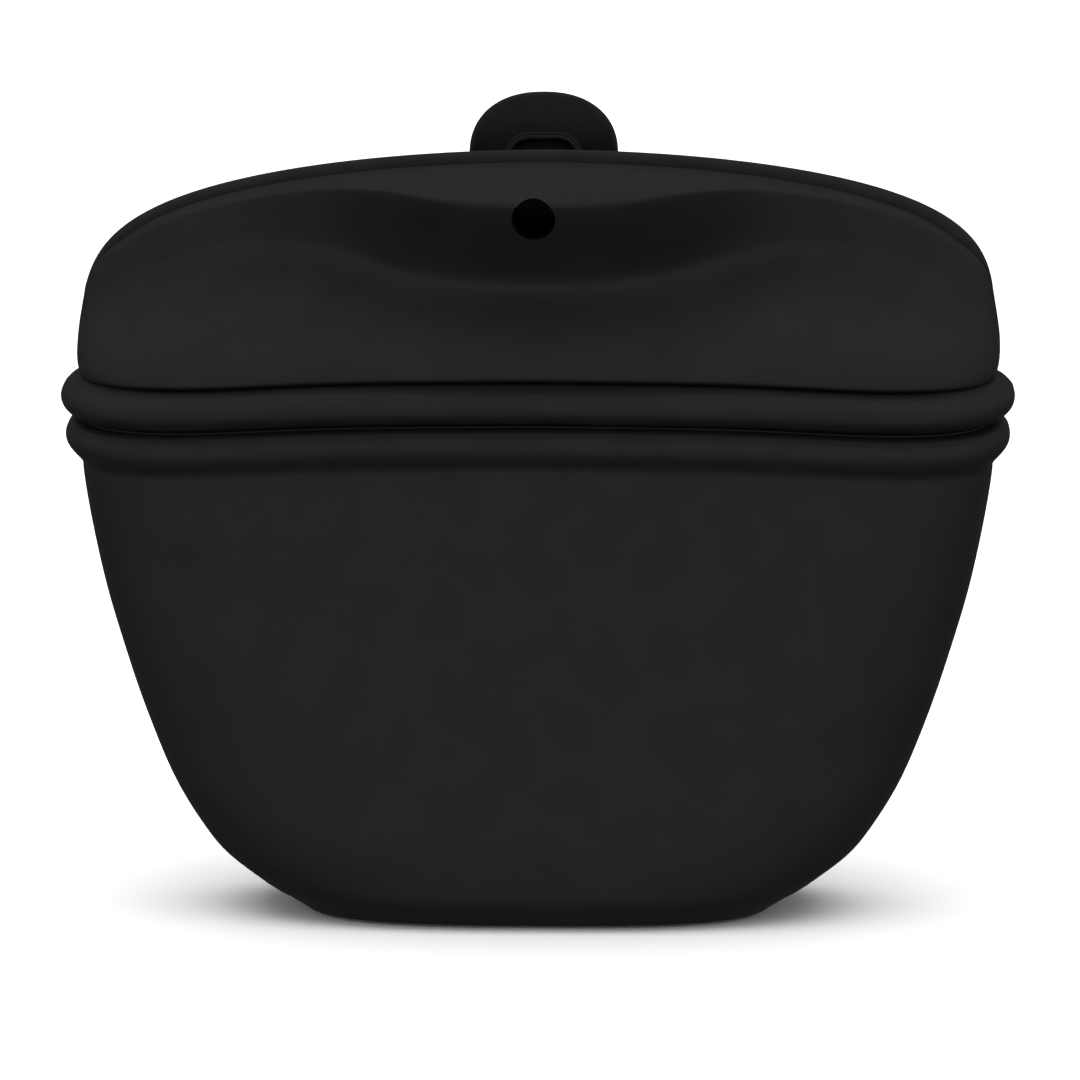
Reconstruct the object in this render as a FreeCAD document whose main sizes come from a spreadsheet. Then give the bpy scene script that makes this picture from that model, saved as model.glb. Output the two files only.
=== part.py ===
"""Silicone treat pouch with a magnetic mouth and a spring-lever belt clip.

Row frame, in millimetres: X to the wearer's-eye right, -Y to the front (the side with the flared lip),
+Z up. The origin is the centre of the flat base that the pouch stands on.
"""
import FreeCAD
import Part
import Sketcher
import os

doc = FreeCAD.newDocument("treat_pouch")
sheet = doc.addObject("Spreadsheet::Sheet", "Sheet")

# ---------------------------------------------------------------- driving dimensions
DIMENSIONS = {
    "wall": 2.0,                    # silicone thickness of the cup and the ends of the mouth
    "panel_wall": 2.6,              # thickness of the leaning panels, measured level
    "corner_ratio": 0.86,           # plan corner radius over half depth
    "seam_gap": 0.3,                # slit between moving and fixed silicone
    "seam_level": 78.3,             # top of the upper rib, where the front panel bends
    "hinge_setback": 24.6,          # front face of the pouch at that level
    "front_lip_scale": 0.948,       # height of the front arch over that of the rear arch
    "lip_inside_top": 104.3,        # the hollow ends here; above it the lips are solid
    "beak_half_width": 27.5,
    "beak_low": 88.3,
    "beak_ridge_level": 103.2,
    "beak_ridge_rise": 0.9,         # the ridge climbs this much towards its two ends
    "beak_ridge_reach": 24.0,
    "beak_ridge_end": 5.5,
    "beak_top_level": 107.4,
    "hole_radius": 3.0,
    "hole_level": 101.4,
    "hole_boss_radius": 4.6,
    "hole_boss_back": 10.8,
    "hole_boss_depth": 10.4,
    "strip_half_length": 29.0,
    "strip_thickness": 3.0,
    "front_strip_low": 96.0,
    "rear_strip_low": 101.0,
    "strip_top": 105.0,
    "strip_hole_radius": 3.2,
    "magnet_inner_end": 5.0,
    "magnet_length": 22.0,
    "magnet_height": 2.8,
    "magnet_thickness": 1.8,
    "magnet_low": 101.6,
    "seat_back": 24.6,              # flat seat on the back of the cup for the clip
    "seat_depth": 2.6,
    "seat_half_width": 15.0,
    "seat_low": 32.0,
    "seat_high": 67.0,
    "plate_half_width": 13.0,
    "plate_low": 34.0,
    "plate_high": 66.0,
    "plate_thickness": 3.0,
    "plate_corner": 3.0,
    "backing_face": 20.3,
    "backing_thickness": 1.5,
    "screw_spacing_wide": 17.0,
    "screw_spacing_high": 18.0,
    "screw_centre_level": 48.0,
    "screw_radius": 1.5,
    "screw_hole_radius": 1.6,
    "screw_head_radius": 2.9,
    "screw_head_depth": 1.5,
    "screw_length": 9.0,
    "ear_height": 8.0,
    "ear_inner": 9.6,
    "ear_outer": 12.4,
    "pin_level": 70.0,
    "pin_setback": 32.5,
    "pin_radius": 1.5,
    "pin_hole_radius": 1.55,
    "pin_head_radius": 2.6,
    "pin_head_thickness": 1.0,
    "ring_thickness": 0.8,
    "knuckle_radius": 3.6,
    "knuckle_inner": 5.6,
    "knuckle_outer": 9.3,
    "lever_thickness": 2.6,
    "tab_half_width": 11.0,
    "tab_top": 115.0,
    "tab_corner": 9.0,
    "tab_low": 78.0,
    "jaw_half_width": 11.5,
    "jaw_high": 48.0,
    "jaw_low": 20.0,
    "window_half_width": 4.6,
    "window_low": 88.0,
    "window_depth": 1.4,
    "window_top": 107.9,
    "rim_width": 1.0,
    "rim_height": 0.9,
    "spring_window_half": 5.6,
    "spring_inner_radius": 2.1,
    "spring_outer_radius": 3.2,
    "spring_half_length": 4.6,
    "spring_leg": 11.0,
    "spring_leg_inset": 0.2,
    "spring_wire": 0.8,
    "pad_height": 5.0,
    "pad_half_width": 9.0,
    "pad_thickness": 1.6,
}

# Outline of the pouch: level, half width, half depth. The first group is the cup and its two ribs,
# the second is the arched upper part that closes at the mouth.
CUP_LEVELS = [
    (0.0, 29.4, 13.8),
    (2.0, 35.4, 17.6),
    (5.5, 40.8, 20.1),
    (10.0, 46.0, 21.4),
    (16.0, 50.3, 22.1),
    (26.0, 54.9, 22.6),
    (40.0, 59.5, 23.2),
    (53.0, 62.8, 23.7),
    (67.3, 64.9, 24.2),
    (68.7, 66.6, 25.9),
    (70.8, 66.6, 25.9),
    (72.5, 65.0, 24.5),
    (74.1, 67.5, 26.6),
    (76.7, 67.5, 26.6),
    (78.3, 65.5, 24.6),
]
ARCH_LEVELS = [
    (84.0, 65.3, 19.6),
    (89.0, 64.7, 14.8),
    (94.0, 63.2, 10.8),
    (98.0, 59.9, 8.4),
    (102.0, 53.0, 6.4),
    (105.0, 43.3, 5.1),
    (107.0, 32.6, 4.1),
    (108.4, 20.0, 3.3),
    (109.2, 10.0, 2.7),
]
# Inside of the cup: level, half width and half depth of the hollow before the wall is taken off.
CUP_HOLLOW = [
    (3.0, 29.4, 13.8),
    (4.6, 35.4, 17.6),
    (7.6, 40.8, 20.1),
    (11.5, 46.0, 21.4),
    (17.0, 50.3, 22.1),
    (26.0, 54.9, 22.6),
    (40.0, 59.5, 23.2),
    (53.0, 62.8, 23.7),
    (67.3, 64.9, 24.2),
]

row = 0


def put(alias, number):
    """Store one plain number in the sheet under its alias."""
    global row
    row += 1
    sheet.set("A%d" % row, alias)
    sheet.set("B%d" % row, repr(float(number)))
    sheet.setAlias("B%d" % row, alias)


for dimension, number in DIMENSIONS.items():
    put(dimension, number)
for group, levels in (("cup", CUP_LEVELS), ("arch", ARCH_LEVELS), ("hollow", CUP_HOLLOW)):
    for index, (level, half_width, half_depth) in enumerate(levels):
        put("%s_level_no_%d" % (group, index), level)
        put("%s_half_width_no_%d" % (group, index), half_width)
        put("%s_half_depth_no_%d" % (group, index), half_depth)
doc.recompute()


def named(expression):
    """Write the sheet's name in front of each alias in an expression given with $alias words."""
    return expression.replace("$", "Sheet.")


def value(expression):
    """Number that an expression gives with the sheet's present values."""
    return float(sheet.evalExpression(named(expression)))


# ---------------------------------------------------------------- sketches and features
def new_body(label):
    body = doc.addObject("PartDesign::Body", label)
    body.Label = label
    return body


def new_sketch(body, name, role, offset="0"):
    """Sketch on one of the body's own origin planes, moved along the plane's normal."""
    sketch = body.newObject("Sketcher::SketchObject", name)
    plane = [feature for feature in body.Origin.OriginFeatures if feature.Role == role][0]
    sketch.AttachmentSupport = [(plane, "")]
    sketch.MapMode = "FlatFace"
    sketch.setExpression(".AttachmentOffset.Base.z", named(offset))
    return sketch


def rounded_rectangle(sketch, half_width, half_height, radius, centre=("0", "0")):
    """Rectangle with four equal round corners, all of its sizes bound to expressions."""
    a, b, r = value(half_width), value(half_height), value(radius)
    cx, cy = value(centre[0]), value(centre[1])
    point = FreeCAD.Vector
    half_turn = 3.141592653589793
    first = sketch.GeometryCount
    corners = [(a - r, b - r, 0.0), (-a + r, b - r, 0.5), (-a + r, -b + r, 1.0), (a - r, -b + r, 1.5)]
    sides = [
        (point(cx + a - r, cy + b, 0), point(cx - a + r, cy + b, 0)),
        (point(cx - a, cy + b - r, 0), point(cx - a, cy - b + r, 0)),
        (point(cx - a + r, cy - b, 0), point(cx + a - r, cy - b, 0)),
        (point(cx + a, cy - b + r, 0), point(cx + a, cy + b - r, 0)),
    ]
    for (x, y, start), (side_from, side_to) in zip(corners, sides):
        circle = Part.Circle(point(cx + x, cy + y, 0), point(0, 0, 1), r)
        sketch.addGeometry(Part.ArcOfCircle(circle, start * half_turn, (start + 0.5) * half_turn), False)
        sketch.addGeometry(Part.LineSegment(side_from, side_to), False)
    for step in range(4):
        arc = first + 2 * step
        line = arc + 1
        following = first + (2 * step + 2) % 8
        sketch.addConstraint(Sketcher.Constraint("Tangent", arc, 2, line, 1))
        sketch.addConstraint(Sketcher.Constraint("Tangent", line, 2, following, 1))
        if step:
            sketch.addConstraint(Sketcher.Constraint("Equal", first, arc))
    sketch.addConstraint(Sketcher.Constraint("Horizontal", first + 1))
    sketch.addConstraint(Sketcher.Constraint("Vertical", first + 3))
    sketch.addConstraint(Sketcher.Constraint("Radius", first, r))
    bind_last(sketch, radius)
    for kind, middle, half_size in (("DistanceX", centre[0], half_width), ("DistanceY", centre[1], half_height)):
        pin_down(sketch, kind, (first, 3), "%s + (%s) - (%s)" % (middle, half_size, radius))
        pin_down(sketch, kind, (first + 4, 3), "%s - (%s) + (%s)" % (middle, half_size, radius))


def bind_last(sketch, expression):
    sketch.setExpression("Constraints[%d]" % (sketch.ConstraintCount - 1), named(expression))


def pin_down(sketch, kind, spot, expression):
    """Fix one coordinate of a sketch point by its distance from the sketch's origin."""
    sketch.addConstraint(Sketcher.Constraint(kind, -1, 1, spot[0], spot[1], value(expression)))
    bind_last(sketch, expression)


def rectangle(sketch, left, right, low, high):
    """Plain rectangle between four coordinates given as expressions."""
    polygon(sketch, [(left, low), (right, low), (right, high), (left, high)])


def polygon(sketch, corners):
    """Closed polygon whose corner coordinates are expressions."""
    first = sketch.GeometryCount
    spots = [FreeCAD.Vector(value(across), value(up), 0) for across, up in corners]
    for index, spot in enumerate(spots):
        sketch.addGeometry(Part.LineSegment(spot, spots[(index + 1) % len(spots)]), False)
    for index, (across, up) in enumerate(corners):
        following = first + (index + 1) % len(corners)
        sketch.addConstraint(Sketcher.Constraint("Coincident", first + index, 2, following, 1))
        pin_down(sketch, "DistanceX", (first + index, 1), across)
        pin_down(sketch, "DistanceY", (first + index, 1), up)


def circle(sketch, across, up, radius):
    """Circle whose centre and radius are expressions."""
    centre = FreeCAD.Vector(value(across), value(up), 0)
    index = sketch.addGeometry(Part.Circle(centre, FreeCAD.Vector(0, 0, 1), value(radius)), False)
    pin_down(sketch, "DistanceX", (index, 3), across)
    pin_down(sketch, "DistanceY", (index, 3), up)
    sketch.addConstraint(Sketcher.Constraint("Radius", index, value(radius)))
    bind_last(sketch, radius)


def loft(body, kind, name, sections):
    """Ruled loft that adds to or cuts from the body."""
    feature = body.newObject("PartDesign::" + kind, name)
    feature.Profile = sections[0]
    feature.Sections = sections[1:]
    feature.Ruled = True
    doc.recompute()
    return feature


def extrude(body, kind, name, sketch, length, reverse=False, both_ways=False):
    """Pad or Pocket of a given length; a pocket must take something away, a pad must add something."""
    doc.recompute()
    before = body.Shape.Volume if body.Tip else 0.0
    feature = body.newObject("PartDesign::" + kind, name)
    feature.Profile = sketch
    feature.setExpression("Length", named(length))
    feature.Reversed = reverse
    if both_ways:
        feature.SideType = "Symmetric"
    doc.recompute()
    change = body.Shape.Volume - before
    if (kind == "Pad") != (change > 0.01) or abs(change) < 0.01:
        raise RuntimeError("%s of %s changed the volume by %.3f" % (name, body.Label, change))
    return feature


def stack(body, kind, name, levels):
    """Loft through level rounded rectangles: (level, half width, half depth) expressions."""
    sections = []
    for index, (level, half_width, half_depth) in enumerate(levels):
        sketch = new_sketch(body, "%s_%d" % (name, index), "XY_Plane", level)
        radius = "$corner_ratio * (%s)" % half_depth
        rounded_rectangle(sketch, half_width, half_depth, radius)
        sections.append(sketch)
    return loft(body, kind, name, sections)


def level_cells(group, count):
    return [
        ("$%s_level_no_%d" % (group, i), "$%s_half_width_no_%d" % (group, i), "$%s_half_depth_no_%d" % (group, i))
        for i in range(count)
    ]


def arch_hollow(lower):
    """Inside of the arched upper part, from the given level up to where the lips become solid."""
    inside = [(lower, "$cup_half_width_no_14 - $wall", "$cup_half_depth_no_14 - $panel_wall")]
    for level, half_width, half_depth in level_cells("arch", 5):
        inside.append((level, half_width + " - $wall", half_depth + " - $panel_wall"))
    inside.append(("$lip_inside_top", "$arch_half_width_no_5", "$arch_half_depth_no_5 - $panel_wall"))
    return inside


def lowered(levels):
    """The front arch: the same outline, its height above the seam level scaled down."""
    rule = "$seam_level + (%s - $seam_level) * $front_lip_scale"
    return [(rule % level, half_width, half_depth) for level, half_width, half_depth in levels]


# ---------------------------------------------------------------- silicone moulding
shell = new_body("pouch_shell")
outline = level_cells("cup", len(CUP_LEVELS)) + level_cells("arch", len(ARCH_LEVELS))
stack(shell, "AdditiveLoft", "shell_outline", outline)
hollow = [
    (level, half_width + " - $wall", half_depth + " - $wall")
    for level, half_width, half_depth in level_cells("hollow", len(CUP_HOLLOW))
]
stack(shell, "SubtractiveLoft", "shell_hollow", hollow + arch_hollow("$seam_level"))

seat = new_sketch(shell, "seat_outline", "XZ_Plane", "-$seat_back")
rounded_rectangle(
    seat, "$seat_half_width", "($seat_high - $seat_low) / 2", "$plate_corner",
    ("0", "($seat_high + $seat_low) / 2"),
)
extrude(shell, "Pad", "clip_seat", seat, "$seat_depth")

inner_seat = new_sketch(shell, "inner_seat_outline", "XZ_Plane", "-$backing_face")
rounded_rectangle(
    inner_seat, "$seat_half_width", "$screw_spacing_high / 2 + 7", "$plate_corner", ("0", "$screw_centre_level"),
)
extrude(shell, "Pad", "inner_seat", inner_seat, "$seat_back - $seat_depth - $backing_face + 0.4", reverse=True)

mouth = new_sketch(shell, "mouth_outline", "YZ_Plane")
polygon(mouth, [
    ("-60", "$seam_level - $seam_gap / 2"),
    ("$seam_gap / 2", "$seam_level - $seam_gap / 2"),
    ("$seam_gap / 2", "$tab_top + 20"),
    ("-60", "$tab_top + 20"),
])
extrude(shell, "Pocket", "mouth_cut", mouth, "200", both_ways=True)

rear_recess = new_sketch(shell, "rear_strip_outline", "XZ_Plane", "-$seam_gap / 2")
rectangle(rear_recess, "-$strip_half_length", "$strip_half_length", "$rear_strip_low", "$strip_top")
extrude(shell, "Pocket", "rear_strip_recess", rear_recess, "$strip_thickness")

SCREWS = {
    "upper_left": (-1, 1),
    "upper_right": (1, 1),
    "lower_left": (-1, -1),
    "lower_right": (1, -1),
}


def screw_place(side, row_sign):
    across = "%d * $screw_spacing_wide / 2" % side
    up = "$screw_centre_level + %d * $screw_spacing_high / 2" % row_sign
    return across, up


def screw_holes(body, name, front, length):
    """Four round holes through a piece, running back from the plane at the given setback."""
    sketch = new_sketch(body, name + "_outline", "XZ_Plane", front)
    for side, row_sign in SCREWS.values():
        across, up = screw_place(side, row_sign)
        circle(sketch, across, up, "$screw_hole_radius")
    extrude(body, "Pocket", name, sketch, length)


screw_holes(shell, "shell_screw_holes", "-$seat_back + 8", "10")

# ---------------------------------------------------------------- front panel and its flared lip
flap = new_body("front_flap")
flap_levels = [("$seam_level + $seam_gap / 2", "$cup_half_width_no_14", "$cup_half_depth_no_14")]
flap_levels += lowered(level_cells("arch", len(ARCH_LEVELS)))
stack(flap, "AdditiveLoft", "flap_outline", flap_levels)

# The flared lip: seven sections across the front, each one a ridge that stands out less towards the ends.
BEAK_STATIONS = (-1.0, -0.72, -0.38, 0.0, 0.38, 0.72, 1.0)


def beak_section(name, station, inset):
    """Section of the flared lip at a fraction of its half width, drawn smaller by an inset."""
    swell = 1.0 - station * station
    sketch = new_sketch(flap, name, "YZ_Plane", "%.2f * $beak_half_width" % station)
    ridge = "-($beak_ridge_end + ($beak_ridge_reach - $beak_ridge_end) * %.4f) + %s" % (swell, inset)
    ridge_level = "$beak_ridge_level + $beak_ridge_rise * %.4f - 0.3 * %s" % (1.0 - swell, inset)
    corners = [
        ("-($beak_ridge_end + 8.4 * %.4f) + %s" % (0.55 + 0.45 * swell, inset), "$beak_low"),
        (ridge, ridge_level),
        ("-3.6 - 0.9 * %s" % inset, "$beak_top_level - 1.3 * %s" % inset),
        ("-3.4", "$beak_top_level - 1.4 * %s" % inset),
        ("-3.4", "$beak_low + 6"),
        ("-8.0", "$beak_low"),
    ]
    polygon(sketch, corners)
    return sketch


solid_sections = [beak_section("beak_%d" % i, x, "0") for i, x in enumerate(BEAK_STATIONS)]
loft(flap, "AdditiveLoft", "beak", solid_sections)
stack(flap, "SubtractiveLoft", "flap_hollow", lowered(arch_hollow("$seam_level")))
inner_stations = BEAK_STATIONS[1:-1]
inner_sections = [beak_section("beak_inside_%d" % i, x, "$panel_wall") for i, x in enumerate(inner_stations)]
loft(flap, "SubtractiveLoft", "beak_hollow", inner_sections)

boss = new_sketch(flap, "boss_outline", "XZ_Plane", "$hole_boss_back")
circle(boss, "0", "$hole_level", "$hole_boss_radius")
extrude(flap, "Pad", "hole_boss", boss, "$hole_boss_depth")
boss_top = new_sketch(flap, "boss_trim_outline", "YZ_Plane")
polygon(boss_top, [
    ("-$beak_ridge_reach", "$beak_ridge_level"),
    ("-3.6", "$beak_top_level"),
    ("-3.6", "$tab_top"),
    ("-$beak_ridge_reach", "$tab_top"),
])
extrude(flap, "Pocket", "boss_trim", boss_top, "2 * $hole_boss_radius + 0.6", both_ways=True)

rear_side = new_sketch(flap, "rear_side_outline", "YZ_Plane")
polygon(rear_side, [
    ("-$seam_gap / 2", "$seam_level - 10"),
    ("60", "$seam_level - 10"),
    ("60", "$tab_top + 20"),
    ("-$seam_gap / 2", "$tab_top + 20"),
])
extrude(flap, "Pocket", "rear_side_cut", rear_side, "200", both_ways=True)

front_recess = new_sketch(flap, "front_strip_outline", "XZ_Plane", "$seam_gap / 2")
rectangle(front_recess, "-$strip_half_length", "$strip_half_length", "$front_strip_low", "$strip_top")
extrude(flap, "Pocket", "front_strip_recess", front_recess, "$strip_thickness", reverse=True)

hole = new_sketch(flap, "hole_outline", "XZ_Plane", "$hole_boss_back - 2")
circle(hole, "0", "$hole_level", "$hole_radius")
extrude(flap, "Pocket", "hole", hole, "18", reverse=True)

# ---------------------------------------------------------------- magnets and the strips that cover them
MAGNET_SIDES = {"left": "-$magnet_inner_end - $magnet_length", "right": "$magnet_inner_end"}


def cover_strip(label, front, low, toward_back):
    """Strip let into a lip, with a pocket for each magnet in the face that is glued to the lip."""
    body = new_body(label)
    outline = new_sketch(body, label + "_outline", "XZ_Plane", front)
    rectangle(outline, "-$strip_half_length", "$strip_half_length", low, "$strip_top")
    extrude(body, "Pad", label + "_plate", outline, "$strip_thickness", reverse=toward_back)
    glued_face = "%s %s $strip_thickness" % (front, "-" if toward_back else "+")
    for side, start in MAGNET_SIDES.items():
        bed = new_sketch(body, "%s_bed_%s" % (label, side), "XZ_Plane", glued_face)
        rectangle(bed, start, start + " + $magnet_length", "$magnet_low", "$magnet_low + $magnet_height")
        extrude(body, "Pocket", "%s_pocket_%s" % (label, side), bed, "$magnet_thickness", toward_back)
    return body


rear_cover = cover_strip("rear_magnet_cover", "-$seam_gap / 2", "$rear_strip_low", True)
front_cover = cover_strip("front_magnet_cover", "$seam_gap / 2", "$front_strip_low", False)
strip_hole = new_sketch(front_cover, "strip_hole_outline", "XZ_Plane", "0")
circle(strip_hole, "0", "$hole_level", "$strip_hole_radius")
extrude(front_cover, "Pocket", "strip_hole", strip_hole, "6", reverse=True)

magnets = []
for place, setback in (
    ("rear", "$seam_gap / 2 + $strip_thickness - $magnet_thickness"),
    ("front", "-$seam_gap / 2 - $strip_thickness"),
):
    for side, start in MAGNET_SIDES.items():
        magnet = doc.addObject("Part::Box", "%s_magnet_%s" % (place, side))
        magnet.Label = "%s_magnet_%s" % (place, side)
        magnet.setExpression("Length", named("$magnet_length"))
        magnet.setExpression("Width", named("$magnet_thickness"))
        magnet.setExpression("Height", named("$magnet_height"))
        magnet.setExpression(".Placement.Base.x", named(start))
        magnet.setExpression(".Placement.Base.y", named(setback))
        magnet.setExpression(".Placement.Base.z", named("$magnet_low"))
        magnets.append(magnet)

# ---------------------------------------------------------------- fixed part of the clip
base = new_body("clip_base")
plate = new_sketch(base, "plate_outline", "XZ_Plane", "-$seat_back")
plate_middle = ("0", "($plate_high + $plate_low) / 2")
rounded_rectangle(plate, "$plate_half_width", "($plate_high - $plate_low) / 2", "$plate_corner", plate_middle)
extrude(base, "Pad", "plate", plate, "$plate_thickness", reverse=True)
for side in (-1, 1):
    middle = "%d * ($ear_inner + $ear_outer) / 2" % side
    ear = new_sketch(base, "ear_outline_%d" % (side + 1), "YZ_Plane", middle)
    polygon(ear, [
        ("$seat_back + 1", "$plate_high - $ear_height"),
        ("$seat_back + $plate_thickness", "$plate_high - $ear_height"),
        ("$pin_setback + 1.6", "$pin_level - $knuckle_radius"),
        ("$pin_setback + 3.6", "$pin_level - 1.6"),
        ("$pin_setback + 3.6", "$pin_level + 1.6"),
        ("$pin_setback + 1.6", "$pin_level + 3.6"),
        ("$pin_setback - 1.6", "$pin_level + 3.6"),
        ("$pin_setback - 4", "$pin_level + 1"),
        ("$seat_back + $plate_thickness", "$plate_high"),
        ("$seat_back + 1", "$plate_high"),
    ])
    extrude(base, "Pad", "ear_%d" % (side + 1), ear, "$ear_outer - $ear_inner", both_ways=True)
pin_bore = new_sketch(base, "pin_bore_outline", "YZ_Plane")
circle(pin_bore, "$pin_setback", "$pin_level", "$pin_hole_radius")
extrude(base, "Pocket", "pin_bore", pin_bore, "60", both_ways=True)
screw_holes(base, "base_screw_holes", "-$seat_back + 1", "10")


def head_room(body, name):
    """Cone-shaped seat round each screw hole, cut from the plate's outer face inwards."""
    for label, (side, row_sign) in SCREWS.items():
        across, up = screw_place(side, row_sign)
        rims = []
        for depth, radius in (("0", "$screw_head_radius"), ("$screw_head_depth", "$screw_hole_radius")):
            setback = "-($seat_back + $plate_thickness - %s)" % depth
            rim = new_sketch(body, "%s_%s_%d" % (name, label, len(rims)), "XZ_Plane", setback)
            circle(rim, across, up, radius)
            rims.append(rim)
        loft(body, "SubtractiveLoft", "%s_%s" % (name, label), rims)


head_room(base, "head_seat")

backing = new_body("clip_backing_plate")
backing_front = "-$backing_face + $backing_thickness"
backing_outline = new_sketch(backing, "backing_outline", "XZ_Plane", backing_front)
rounded_rectangle(
    backing_outline, "$plate_half_width", "$screw_spacing_high / 2 + 5", "$plate_corner",
    ("0", "$screw_centre_level"),
)
extrude(backing, "Pad", "backing", backing_outline, "$backing_thickness", reverse=True)
screw_holes(backing, "backing_screw_holes", "%s + 1" % backing_front, "6")

screws = []
for label, (side, row_sign) in SCREWS.items():
    screw = new_body("clip_screw_" + label)
    across, up = screw_place(side, row_sign)
    head = "-($seat_back + $plate_thickness)"
    shank = new_sketch(screw, "shank_%s" % label, "XZ_Plane", head)
    circle(shank, across, up, "$screw_radius")
    extrude(screw, "Pad", "shank_pad_%s" % label, shank, "$screw_length")
    rims = []
    for depth, radius in (("0", "$screw_head_radius - 0.1"), ("$screw_head_depth", "$screw_radius - 0.1")):
        rim = new_sketch(screw, "head_%s_%d" % (label, len(rims)), "XZ_Plane", "%s + %s" % (head, depth))
        circle(rim, across, up, radius)
        rims.append(rim)
    loft(screw, "AdditiveLoft", "head_" + label, rims)
    slot = new_sketch(screw, "drive_%s" % label, "XZ_Plane", head)
    rectangle(slot, across + " - 1.9", across + " + 1.9", up + " - 0.35", up + " + 0.35")
    extrude(screw, "Pocket", "drive_cut_%s" % label, slot, "0.6", reverse=True)
    screws.append(screw)

pin = new_body("clip_hinge_pin")
pin_shank = new_sketch(pin, "pin_outline", "YZ_Plane", "-$ear_outer")
circle(pin_shank, "$pin_setback", "$pin_level", "$pin_radius")
extrude(pin, "Pad", "pin_shank", pin_shank, "2 * $ear_outer + $ring_thickness + 0.8")
pin_head = new_sketch(pin, "pin_head_outline", "YZ_Plane", "-$ear_outer")
circle(pin_head, "$pin_setback", "$pin_level", "$pin_head_radius")
extrude(pin, "Pad", "pin_head", pin_head, "$pin_head_thickness", reverse=True)

ring = new_body("clip_pin_ring")
ring_outline = new_sketch(ring, "ring_outline", "YZ_Plane", "$ear_outer")
circle(ring_outline, "$pin_setback", "$pin_level", "$pin_head_radius")
circle(ring_outline, "$pin_setback", "$pin_level", "$pin_radius")
extrude(ring, "Pad", "ring_plate", ring_outline, "$ring_thickness")

# ---------------------------------------------------------------- moving part of the clip
lever = new_body("clip_lever")
face = "-($pin_setback + $lever_thickness)"
tab = new_sketch(lever, "tab_outline", "XZ_Plane", face)
rounded_rectangle(
    tab, "$tab_half_width", "($tab_top - $tab_low) / 2", "$tab_corner", ("0", "($tab_top + $tab_low) / 2"),
)
extrude(lever, "Pad", "tab", tab, "$lever_thickness")
neck = new_sketch(lever, "neck_outline", "XZ_Plane", face)
rectangle(neck, "-$knuckle_outer", "$knuckle_outer", "$jaw_high - 6", "$tab_low + 12")
extrude(lever, "Pad", "neck", neck, "$lever_thickness")
jaw = new_sketch(lever, "jaw_outline", "XZ_Plane", face)
rounded_rectangle(
    jaw, "$jaw_half_width", "($jaw_high - $jaw_low) / 2", "5.0", ("0", "($jaw_high + $jaw_low) / 2"),
)
extrude(lever, "Pad", "jaw", jaw, "$lever_thickness")
knuckles = new_sketch(lever, "knuckle_outline", "YZ_Plane")
circle(knuckles, "$pin_setback", "$pin_level", "$knuckle_radius")
extrude(lever, "Pad", "knuckles", knuckles, "2 * $knuckle_outer", both_ways=True)
toe = new_sketch(lever, "toe_outline", "YZ_Plane")
toe_face = "$cup_half_depth_no_5 + $seam_gap + $pad_thickness"
polygon(toe, [
    ("$pin_setback + 0.5", "$jaw_low + 9"),
    (toe_face + " + 1.5", "$jaw_low + 5.5"),
    (toe_face, "$jaw_low + 5.5"),
    (toe_face, "$jaw_low + 0.5"),
    (toe_face + " + 1.5", "$jaw_low + 0.5"),
    ("$pin_setback + 0.5", "$jaw_low + 3"),
])
extrude(lever, "Pad", "toe", toe, "2 * $pad_half_width", both_ways=True)
spring_room = new_sketch(lever, "spring_room_outline", "XZ_Plane", "-$pin_setback + $knuckle_radius + 1")
rectangle(
    spring_room, "-$spring_window_half", "$spring_window_half",
    "$pin_level - $knuckle_radius - 0.6", "$pin_level + $knuckle_radius + 0.6",
)
extrude(lever, "Pocket", "spring_room", spring_room, "12")
lever_bore = new_sketch(lever, "lever_bore_outline", "YZ_Plane")
circle(lever_bore, "$pin_setback", "$pin_level", "$pin_hole_radius")
extrude(lever, "Pocket", "lever_bore", lever_bore, "60", both_ways=True)
rim = new_sketch(lever, "rim_outline", "XZ_Plane", "-$pin_setback")
window_middle = ("0", "($window_top + $window_low) / 2")
rounded_rectangle(
    rim, "$window_half_width + $rim_width", "($window_top - $window_low) / 2 + $rim_width", "2.5", window_middle,
)
extrude(lever, "Pad", "rim", rim, "$rim_height")
window = new_sketch(lever, "window_outline", "XZ_Plane", "-$pin_setback + $rim_height + 1")
rounded_rectangle(window, "$window_half_width", "($window_top - $window_low) / 2", "1.5", window_middle)
extrude(lever, "Pocket", "window", window, "$rim_height + 1 + $window_depth")

pad = doc.addObject("Part::Box", "clip_jaw_pad")
pad.Label = "clip_jaw_pad"
pad.setExpression("Length", named("2 * $pad_half_width"))
pad.setExpression("Width", named("$pad_thickness"))
pad.setExpression("Height", named("$pad_height"))
pad.setExpression(".Placement.Base.x", named("-$pad_half_width"))
pad.setExpression(".Placement.Base.y", named("$cup_half_depth_no_5 + $seam_gap"))
pad.setExpression(".Placement.Base.z", named("$jaw_low + 0.5"))

# Torsion spring: its coil as a tube round the pin, one leg up the tab and one down to the base plate.
spring = new_body("clip_spring")
coil = new_sketch(spring, "coil_outline", "YZ_Plane")
circle(coil, "$pin_setback", "$pin_level", "$spring_outer_radius")
circle(coil, "$pin_setback", "$pin_level", "$spring_inner_radius")
extrude(spring, "Pad", "coil", coil, "2 * $spring_half_length", both_ways=True)
for name, side, direction in (("upper_leg", 1, 1), ("lower_leg", -1, -1)):
    leg = new_sketch(spring, name + "_outline", "XY_Plane", "$pin_level")
    middle = "%d * ($spring_half_length - $spring_wire)" % side
    front = "$pin_setback - $spring_outer_radius + $spring_leg_inset"
    rectangle(
        leg, middle + " - $spring_wire / 2", middle + " + $spring_wire / 2", front, front + " + $spring_wire",
    )
    extrude(spring, "Pad", name, leg, "$spring_leg", reverse=direction < 0)

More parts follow.
